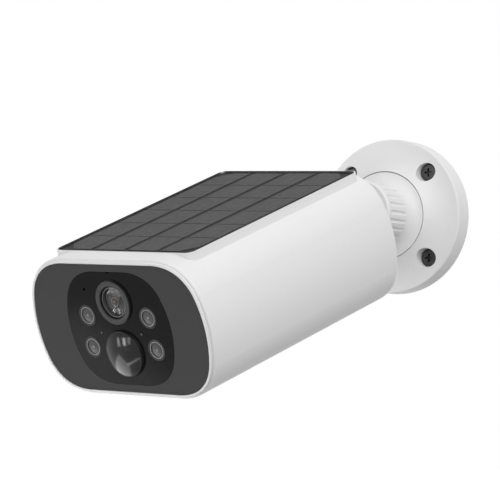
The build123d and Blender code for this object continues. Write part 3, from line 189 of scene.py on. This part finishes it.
def islands(name):
    """Centre of each separate solid in a node's mesh."""
    mesh = nodes[name].data
    owner = list(range(len(mesh.vertices)))

    def root(i):
        while owner[i] != i:
            owner[i] = owner[owner[i]]
            i = owner[i]
        return i

    for edge in mesh.edges:
        a, b = root(edge.vertices[0]), root(edge.vertices[1])
        if a != b:
            owner[a] = b
    groups = {}
    for i, v in enumerate(mesh.vertices):
        groups.setdefault(root(i), []).append(Vector(v.co))
    return [middle_of(points) for points in groups.values()]


def calc(nt, operation, a, b=None):
    """One arithmetic step on sockets or numbers."""
    n = nt.nodes.new("ShaderNodeMath")
    n.operation = operation
    for i, value in enumerate((a, b)):
        if isinstance(value, bpy.types.NodeSocket):
            nt.links.new(value, n.inputs[i])
        elif value is not None:
            n.inputs[i].default_value = value
    return n.outputs[0]


def along(nt, axis, origin=(0, 0, 0)):
    """Distance of a point from origin along an axis, in metres."""
    sub = nt.nodes.new("ShaderNodeVectorMath")
    sub.operation = "SUBTRACT"
    nt.links.new(coords(nt), sub.inputs[0])
    sub.inputs[1].default_value = tuple(origin)
    dot = nt.nodes.new("ShaderNodeVectorMath")
    dot.operation = "DOT_PRODUCT"
    nt.links.new(sub.outputs[0], dot.inputs[0])
    dot.inputs[1].default_value = tuple(axis)
    return dot.outputs["Value"]


def radius(nt, origins):
    """Distance from the nearest of several axes square to the face, in metres."""
    best = None
    for origin in origins:
        u, v = along(nt, RIGHT, origin), along(nt, UP, origin)
        r = calc(nt, "SQRT", calc(nt, "ADD", calc(nt, "MULTIPLY", u, u),
                                  calc(nt, "MULTIPLY", v, v)))
        best = r if best is None else calc(nt, "MINIMUM", best, r)
    return best


def bands(nt, value, stops):
    """Colour by a value: stops are (position, grey level or colour)."""
    ramp = nt.nodes.new("ShaderNodeValToRGB")
    last = stops[-1][0]
    nt.links.new(calc(nt, "DIVIDE", value, last * 1.001), ramp.inputs[0])
    while len(ramp.color_ramp.elements) < len(stops):
        ramp.color_ramp.elements.new(0.5)
    for element, (place, colour) in zip(ramp.color_ramp.elements, stops):
        element.position = place / (last * 1.001)
        element.color = (*(colour if isinstance(colour, tuple) else grey(colour)), 1)
    return ramp.outputs[0]


# ------------------------------------------------------------------ materials
def moulded(name, colour, rough=0.45, spec=0.5, vary=0.012, grain=0.000012, size=3200):
    """Moulded plastic: a slight mottle, fine spark texture and softened edges."""
    mat, nt, bsdf = tree(name)
    at = coords(nt)
    mottle = noise(nt, at, 260, 4, 0.65)
    dark = tuple(c * (1 - vary) for c in colour)
    light = tuple(min(1, c * (1 + vary)) for c in colour)
    nt.links.new(blend_colour(nt, span(nt, mottle, 0, 1), dark, light),
                 bsdf.inputs["Base Color"])
    nt.links.new(span(nt, noise(nt, at, 700, 3), rough - 0.04, rough + 0.04),
                 bsdf.inputs["Roughness"])
    bsdf.inputs["Specular IOR Level"].default_value = spec
    relief(nt, bsdf, noise(nt, at, size, 2, 0.6), grain, edge=0.0002)
    return mat


def metal(name, colour, rough=0.3):
    """Plated or turned metal with a fine uneven polish."""
    mat, nt, bsdf = tree(name)
    at = coords(nt)
    n = noise(nt, at, 400, 4)
    nt.links.new(blend_colour(nt, span(nt, n, 0, 1), tuple(c * 0.85 for c in colour), colour),
                 bsdf.inputs["Base Color"])
    nt.links.new(span(nt, noise(nt, at, 900, 3), rough - 0.08, rough + 0.1),
                 bsdf.inputs["Roughness"])
    bsdf.inputs["Metallic"].default_value = 1.0
    relief(nt, bsdf, noise(nt, at, 3000, 2), 0.00001, edge=0.0001)
    return mat


def rubber(name, colour):
    """Matt rubber with a fine grain."""
    mat, nt, bsdf = tree(name)
    at = coords(nt)
    n = noise(nt, at, 700, 4)
    nt.links.new(blend_colour(nt, span(nt, n, 0, 1), tuple(c * 0.85 for c in colour), colour),
                 bsdf.inputs["Base Color"])
    nt.links.new(span(nt, n, 0.6, 0.8), bsdf.inputs["Roughness"])
    relief(nt, bsdf, noise(nt, at, 2400, 3), 0.00003, edge=0.0002)
    return mat


def board(name):
    """Solder mask with copper tracks faintly raised under it."""
    mat, nt, bsdf = tree(name)
    at = coords(nt)
    tracks = nt.nodes.new("ShaderNodeTexVoronoi")
    tracks.distance = "CHEBYCHEV"
    tracks.inputs["Scale"].default_value = 420
    nt.links.new(at, tracks.inputs["Vector"])
    edge = span(nt, tracks.outputs["Distance"], 0, 1, 0.42, 0.5)
    nt.links.new(blend_colour(nt, edge, (0.008, 0.075, 0.035), (0.016, 0.13, 0.06)),
                 bsdf.inputs["Base Color"])
    nt.links.new(span(nt, noise(nt, at, 500), 0.25, 0.4), bsdf.inputs["Roughness"])
    relief(nt, bsdf, edge, 0.00004)
    return mat


def turned(name, origins, stops, rough, spec, metallic=None, ridges=0.0):
    """Round piece whose tone follows stops of (millimetres from its axis, tone)."""
    ridge_pitch = 0.5 * MM
    mat, nt, bsdf = tree(name)
    r = radius(nt, origins)
    tone = bands(nt, calc(nt, "MULTIPLY", r, 1000), stops)
    fine = noise(nt, coords(nt), 900, 3)
    nt.links.new(blend_colour(nt, span(nt, fine, 0.0, 0.12), tone, grey(0.03)),
                 bsdf.inputs["Base Color"])
    nt.links.new(span(nt, fine, rough - 0.04, rough + 0.04), bsdf.inputs["Roughness"])
    bsdf.inputs["Specular IOR Level"].default_value = spec
    if metallic:
        low, high = metallic
        inside = calc(nt, "MULTIPLY", calc(nt, "GREATER_THAN", r, low * MM),
                      calc(nt, "LESS_THAN", r, high * MM))
        nt.links.new(inside, bsdf.inputs["Metallic"])
    height = fine
    if ridges:
        height = calc(nt, "SINE", calc(nt, "MULTIPLY", r, 2 * pi / ridge_pitch))
    relief(nt, bsdf, height, ridges or 0.000004)
    return mat


def coated_glass(name, origins, tint, cover, rough, spec):
    """Clear glass with a faint coating; tint and opacity follow stops as in turned()."""
    mat, nt, bsdf = tree(name)
    r = calc(nt, "MULTIPLY", radius(nt, origins), 1000)
    fine = span(nt, noise(nt, coords(nt), 900, 2), 0, 0.06)
    nt.links.new(blend_colour(nt, fine, bands(nt, r, tint), grey(0.03)),
                 bsdf.inputs["Base Color"])
    nt.links.new(bands(nt, r, cover), bsdf.inputs["Alpha"])
    nt.links.new(span(nt, noise(nt, coords(nt), 300, 2), rough * 0.8, rough * 1.2),
                 bsdf.inputs["Roughness"])
    bsdf.inputs["Specular IOR Level"].default_value = spec
    return mat


def wafer(name, colour, finger):
    """Solar cell: dark silicon with fine printed silver fingers and a slight tone per cell."""
    finger_pitch = 2.1 * MM
    mat, nt, bsdf = tree(name)
    y = along(nt, REAR)
    wave = calc(nt, "SINE", calc(nt, "MULTIPLY", y, 2 * pi / finger_pitch))
    lines = span(nt, wave, 0, 1, 0.80, 0.98)
    geometry = nt.nodes.new("ShaderNodeNewGeometry")
    tone = span(nt, geometry.outputs["Random Per Island"], 0, 1, 0, 1)
    body = blend_colour(nt, tone, tuple(c * 0.99 for c in colour), tuple(c * 1.01 for c in colour))
    speck = span(nt, noise(nt, coords(nt), 1500, 2), 0, 0.04)
    body = blend_colour(nt, speck, body, grey(0.16))
    nt.links.new(blend_colour(nt, calc(nt, "MULTIPLY", lines, 0.6), body, finger),
                 bsdf.inputs["Base Color"])
    nt.links.new(span(nt, noise(nt, coords(nt), 400, 2), 0.42, 0.5), bsdf.inputs["Roughness"])
    bsdf.inputs["Specular IOR Level"].default_value = 0.12
    return mat


def cover_film(name, width, low, high, shade_band):
    """Clear matt film with painted shade: an opaque black band round its edge, where the film
    meets the lip in shadow.
    """
    mat, nt, bsdf = tree(name)
    centre = (Vector(low) + Vector(high)) / 2
    side = calc(nt, "ABSOLUTE", along(nt, RIGHT, centre))
    ends = calc(nt, "ABSOLUTE", along(nt, REAR, centre))
    # painted shade: a thin band round the film's edge turns opaque and near black
    shade_band_mask = calc(nt, "MAXIMUM", calc(nt, "GREATER_THAN", side, width[0] / 2 - shade_band),
                calc(nt, "GREATER_THAN", ends, width[1] / 2 - shade_band))
    nt.links.new(calc(nt, "MAXIMUM", shade_band_mask, 0.06), bsdf.inputs["Alpha"])
    tone = blend_colour(nt, shade_band_mask, grey(0.05), grey(0.03))
    fine = span(nt, noise(nt, coords(nt), 1200, 2), 0, 0.05)
    nt.links.new(blend_colour(nt, fine, tone, grey(0.03)), bsdf.inputs["Base Color"])
    nt.links.new(span(nt, noise(nt, coords(nt), 900, 2), 0.5, 0.56), bsdf.inputs["Roughness"])
    bsdf.inputs["Specular IOR Level"].default_value = 0.02
    return mat


def woven(name):
    """Dark mesh cloth."""
    mat, nt, bsdf = tree(name)
    at = coords(nt)
    wave = node(nt, "ShaderNodeTexWave", Scale=1500)
    nt.links.new(at, wave.inputs["Vector"])
    nt.links.new(blend_colour(nt, wave.outputs["Fac"], grey(0.01), grey(0.05)),
                 bsdf.inputs["Base Color"])
    bsdf.inputs["Roughness"].default_value = 0.9
    relief(nt, bsdf, wave.outputs["Fac"], 0.0001)
    return mat


white = moulded("white_shell", grey(0.80), rough=0.45, vary=0.006)
bezel = moulded("white_bezel", grey(0.80), rough=0.35, vary=0.006, grain=0.000006)
nylon = moulded("nylon", (0.72, 0.72, 0.69), rough=0.5)
paint = moulded("white_paint", grey(0.8), rough=0.35, grain=0.00002, size=900)
face = moulded("face_plate_grey", grey(0.045), rough=0.55, spec=0.12, grain=0.00002)
black_window = moulded("window_black", grey(0.0095), rough=0.09, spec=0.05, grain=0.000002,
                       vary=0.05)
black = moulded("black_plastic", grey(0.008), rough=0.4, spec=0.2)
dome = moulded("dome_black", grey(0.005), rough=0.13, spec=0.25, grain=0.000001, vary=0.05)
lens_at = [middle("lens_ring")]
lamp_at = islands("ir_lamps")
trim = turned("lens_trim", lens_at, [(0, 0.036), (9.0, 0.036), (10.2, 0.03), (10.6, 0.10)],
              rough=0.4, spec=0.2)
# painted light: inside 3.7 mm the bore wall of each ring takes the lens's light tone, over the
# shade that falls there
lamp_trim = turned("lamp_trim", lamp_at,
                   [(0, 0.10), (3.7, 0.10), (3.8, 0.28), (3.95, 0.20), (4.05, 0.02),
                    (4.3, 0.02), (4.4, 0.032), (5.2, 0.032)],
                   rough=0.3, spec=0.15, metallic=(3.75, 3.98))
# painted highlight: each lamp lens is bright in its middle, within about 0.8 mm of its axis
lamp = turned("lamp_lens", lamp_at,
              [(0, 0.30), (0.4, 0.20), (0.8, 0.085), (1.5, 0.07), (1.9, 0.095), (2.3, 0.07),
               (3.4, 0.065)],
              rough=0.22, spec=0.22)
barrel = turned("barrel_black", lens_at,
                [(0, (0.035, 0.02, 0.013)), (1.9, (0.045, 0.025, 0.016)),
                 (2.2, (0.12, 0.08, 0.055)), (2.7, (0.10, 0.068, 0.05)), (2.9, 0.02),
                 (4.2, 0.028), (4.4, 0.014), (6.6, 0.02), (6.8, 0.12), (7.3, 0.14)],
                rough=0.3, spec=0.4, ridges=0.00002)
sensor_grey = moulded("light_sensor_grey", grey(0.05), rough=0.25, spec=0.3, grain=0.000004)
button_grey = moulded("button_grey", grey(0.45))
steel = metal("steel", grey(0.5), 0.3)
dark_steel = metal("dark_screw", grey(0.10), 0.38)
nickel = metal("nickel", (0.62, 0.6, 0.55), 0.25)
brass = metal("brass", (0.7, 0.52, 0.24), 0.3)
black_rubber = rubber("black_rubber", grey(0.015))
white_rubber = rubber("white_rubber", grey(0.76))
green = board("board_green")
cream = moulded("connector_cream", (0.7, 0.65, 0.5))
sleeve = moulded("cell_sleeve", (0.03, 0.12, 0.3), rough=0.3)
die = moulded("sensor_die", (0.05, 0.06, 0.1), rough=0.1)
cells = wafer("cell_silicon", grey(0.056), grey(0.078))
back = moulded("panel_backing", grey(0.03), rough=0.45, spec=0.05)
film = cover_film("panel_film", FILM_SIZE, *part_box("panel_film"), FILM_SHADE_BAND)
glass = coated_glass("lens_glass", lens_at,
                     [(0, (0.11, 0.085, 0.075)), (0.5, (0.32, 0.24, 0.19)),
                      (0.9, (0.10, 0.08, 0.07)), (1.8, (0.11, 0.09, 0.08)),
                      (2.1, (0.38, 0.29, 0.24)), (2.4, 0.08), (6.8, 0.08)],
                     [(0, 0.5), (0.5, 0.6), (0.9, 0.4), (1.8, 0.4), (2.1, 0.65), (2.4, 0.22),
                      (3.2, 0.2), (3.4, 0.34), (3.6, 0.2), (6.8, 0.2)], rough=0.08, spec=0.1)
coated = turned("coated_element", lens_at,
                [(0, 0.12), (4.7, 0.12), (4.9, 0.17), (5.1, 0.11), (6.5, 0.12)],
                rough=0.09, spec=0.6)
cloth = woven("mesh_cloth")

dress = {
    white: "wall_plate cup_post collar lock_nut main_housing battery_hatch",
    dark_steel: "wall_screws",
    nylon: "slip_ring ball_liner",
    paint: "ball_stem",
    brass: "threaded_insert wifi_antenna",
    bezel: "front_bezel",
    black_rubber: "rear_washer front_gasket antenna_lead solar_lead battery_lead hatch_gasket",
    face: "face_plate",
    black_window: "window",
    trim: "lens_ring",
    glass: "lens_glass",
    barrel: "lens_barrel",
    black: "lens_shroud lens_holder pir_ring inner_chassis battery_tray switches speaker",
    die: "image_sensor",
    green: "sensor_board led_board main_board port_board",
    dome: "pir_lens",
    nickel: "pir_sensor battery_contacts",
    lamp_trim: "lamp_rings",
    lamp: "ir_lamps",
    sensor_grey: "light_sensors",
    steel: "microphone post_screw chassis_screws sensor_screws board_screws radio_shield"
           " hatch_screws usb_socket card_socket",
    cream: "board_connectors",
    back: "panel_backsheet",
    cells: "solar_cells",
    film: "panel_film",
    sleeve: "battery_cells",
    button_grey: "power_button reset_button",
    white_rubber: "port_flap",
    cloth: "speaker_mesh",
}
for mat, names in dress.items():
    for name in names.split():
        mesh = nodes[name].data
        mesh.materials.clear()
        mesh.materials.append(mat)
assert all(n.data.materials and n.data.materials[0] in dress for n in nodes.values())


# ------------------------------------------------------------------ pieces
def piece(name, mesh, mat):
    """Object in a finish that rides the camera's body."""
    obj = bpy.data.objects.new(name, mesh)
    scene.collection.objects.link(obj)
    mesh.materials.clear()
    mesh.materials.append(mat)
    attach(obj, "camera")
    return obj


def turned_mesh(name, centre, profile):
    """Surface of revolution about the lens axis; profile points are (radius, depth) in mm."""
    steps = 96
    bm = bmesh.new()
    rings = []
    for r, depth in profile:
        at = centre + REAR * depth * MM
        if r < 1e-6:
            rings.append([bm.verts.new(at)])
            continue
        rings.append([bm.verts.new(at + (RIGHT * cos(t) + UP * sin(t)) * r * MM)
                      for t in (2 * pi * k / steps for k in range(steps))])
    for inner, outer in zip(rings, rings[1:]):
        for k in range(steps):
            n = (k + 1) % steps
            if len(inner) == 1:
                bm.faces.new((inner[0], outer[n], outer[k]))
            elif len(outer) == 1:
                bm.faces.new((inner[k], inner[n], outer[0]))
            else:
                bm.faces.new((inner[k], inner[n], outer[n], outer[k]))
    bmesh.ops.recalc_face_normals(bm, faces=bm.faces)
    mesh = bpy.data.meshes.new(name)
    bm.to_mesh(mesh)
    bm.free()
    for polygon in mesh.polygons:
        polygon.use_smooth = True
    mesh.set_sharp_from_angle(angle=radians(40))
    return mesh


def lens_glasses():
    """Thin domed front glass in place of the solid one, and a concave element close behind it."""
    places = [p - lens_at[0] for p in points_of("lens_glass")]
    depths = [p.dot(REAR) / MM for p in places]
    radii = [(p - REAR * p.dot(REAR)).length / MM for p in places]
    apex, rim = min(depths), max(radii)
    sag = min(d for d, r in zip(depths, radii) if r > rim - 0.01) - apex
    glass_t, gap, inset, rings = 0.3, 0.05, 0.5, 12         # the first three in millimetres
    dome_front = [(rim * k / rings, apex + sag * (k / rings) ** 2) for k in range(rings + 1)]
    dome_rear = [(r, depth + glass_t) for r, depth in reversed(dome_front)]
    mesh = turned_mesh("front_glass", lens_at[0], dome_front + dome_rear)
    front_glass = piece("front_glass", mesh, glass)
    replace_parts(front_glass, "lens_glass")
    edge_r, curve, back_r = rim - inset, 22.0, 3.6
    hollow = edge_r ** 2 / (2 * curve)
    start = apex + sag * (edge_r / rim) ** 2 + glass_t + gap
    front = [(r, start + hollow - r ** 2 / (2 * curve))
             for r in (edge_r * k / rings for k in range(rings + 1))]
    rear = start + hollow + 0.5
    mesh = turned_mesh("second_element", lens_at[0], front + [(back_r, rear), (0, rear)])
    piece("second_element", mesh, coated)


def lamp_lenses():
    """Lamp lenses made flatter and wider at the rim, so that each fills the bore of its ring."""
    mesh = nodes["ir_lamps"].data.copy()
    mesh.name = "lamp_lenses"
    sides, depths = [], []
    for v in mesh.vertices:
        away = v.co - min(lamp_at, key=lambda centre: (v.co - centre).length)
        depths.append(away.dot(REAR))
        sides.append(away - REAR * away.dot(REAR))
    rim, stem, widen = max(side.length for side in sides), 2.7 * MM, 0.32 * MM
    top, dome, forward, flatten = min(depths), 0.85 * MM, 0.2 * MM, 0.65
    for v, side, depth in zip(mesh.vertices, sides, depths):
        if side.length > stem:
            v.co += side.normalized() * widen * (side.length - stem) / (rim - stem)
        if depth - top < dome:
            v.co -= REAR * (forward + flatten * (depth - top))
    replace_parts(piece("lamp_lenses", mesh, lamp), "ir_lamps")


def cover_sheet():
    """The panel's film, held a hair clear of the cells so that its underside is its own face."""
    mesh = nodes["panel_film"].data.copy()
    mesh.name = "cover_sheet"
    middle_height = middle("panel_film").dot(UP)
    for v in mesh.vertices:
        if v.co.dot(UP) < middle_height:
            v.co += UP * 0.06 * MM
    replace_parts(piece("cover_sheet", mesh, film), "panel_film")


lens_glasses()
lamp_lenses()
cover_sheet()


# ------------------------------------------------------------------ stage
def seen_rays(nt):
    """1 for camera, glossy and transmission rays, 0 for the rays that light the object."""
    path = nt.nodes.new("ShaderNodeLightPath")
    rays = path.outputs["Is Camera Ray"]
    for other in ("Is Glossy Ray", "Is Transmission Ray"):
        rays = calc(nt, "MAXIMUM", rays, path.outputs[other])
    return rays


def stage_floor():
    """Pale floor that the camera sees as white, with the object's shadow on it."""
    mesh = bpy.data.meshes.new("floor")
    half = FLOOR_HALF
    mesh.from_pydata([(-half, -half, 0), (half, -half, 0), (half, half, 0), (-half, half, 0)],
                     [], [(0, 1, 2, 3)])
    floor = bpy.data.objects.new("floor", mesh)
    floor.location.z = cad_box[0][2] - FLOOR_DROP
    scene.collection.objects.link(floor)
    mat, nt, bsdf = tree("floor_pale")
    bsdf.inputs["Roughness"].default_value = 0.9
    bsdf.inputs["Specular IOR Level"].default_value = 0.0
    bsdf.inputs["Base Color"].default_value = (*grey(FLOOR_TONE), 1)
    bsdf.inputs["Emission Color"].default_value = (1, 1, 1, 1)
    nt.links.new(calc(nt, "MULTIPLY", seen_rays(nt), FLOOR_LIFT), bsdf.inputs["Emission Strength"])
    mesh.materials.append(mat)


def softbox(name, place, target, size, power):
    """Rectangular lamp of some watts that faces its target and isn't seen itself."""
    data = bpy.data.lights.new(name, "AREA")
    data.shape = "RECTANGLE"
    data.size, data.size_y = size
    data.energy = power
    lamp_obj = bpy.data.objects.new(name, data)
    lamp_obj.location = place
    way = Vector(target) - Vector(place)
    lamp_obj.rotation_euler = way.to_track_quat("-Z", "Y").to_euler()
    lamp_obj.visible_camera = False
    scene.collection.objects.link(lamp_obj)


def world():
    """Soft studio surround: lighter overhead, and white where it is seen."""
    w = bpy.data.worlds.new("studio")
    scene.world = w
    w.use_nodes = True
    nt = w.node_tree
    nt.nodes.clear()
    out = nt.nodes.new("ShaderNodeOutputWorld")
    way = nt.nodes.new("ShaderNodeVectorMath")
    way.operation = "DOT_PRODUCT"
    nt.links.new(nt.nodes.new("ShaderNodeTexCoord").outputs["Generated"], way.inputs[0])
    way.inputs[1].default_value = SKY_LEAN
    fill = nt.nodes.new("ShaderNodeBackground")
    fill.inputs["Color"].default_value = (1, 1, 1, 1)
    nt.links.new(calc(nt, "MAXIMUM", calc(nt, "ADD", way.outputs["Value"], SKY_LEVEL), SKY_LEAST),
                 fill.inputs["Strength"])
    seen = nt.nodes.new("ShaderNodeBackground")
    seen.inputs["Color"].default_value = (1, 1, 1, 1)
    seen.inputs["Strength"].default_value = 1.0
    mix = nt.nodes.new("ShaderNodeMixShader")
    nt.links.new(seen_rays(nt), mix.inputs[0])
    nt.links.new(fill.outputs[0], mix.inputs[1])
    nt.links.new(seen.outputs[0], mix.inputs[2])
    nt.links.new(mix.outputs[0], out.inputs[0])


stage_floor()
world()
front = middle("pir_lens")
for name, side, height, power in STRIPS:
    way = Vector((-sin(radians(side)), -cos(radians(side)), sin(radians(height))))
    softbox(name, front + STRIP_AWAY * way, front, STRIP_SIZE, power)
softbox("low", (-0.52, -0.16, -0.56), front, (0.60, 0.52), 2.6)
softbox("low_front", (-0.30, -0.46, -0.68), front, (0.45, 0.40), 4.0)
softbox("key", (1.3, -1.3, 0.95), (0, -0.1, 0), (1.4, 1.4), 19)

# ------------------------------------------------------------------ view
cam = bpy.data.cameras.new("camera")
cam.lens = FOCAL
cam.sensor_width = SENSOR
cam_obj = bpy.data.objects.new("camera", cam)
cam_obj.location = CAMERA_AT
cam_obj.rotation_euler = [radians(angle) for angle in CAMERA_AIM]
scene.collection.objects.link(cam_obj)
scene.camera = cam_obj
scene.view_settings.view_transform = "Standard"
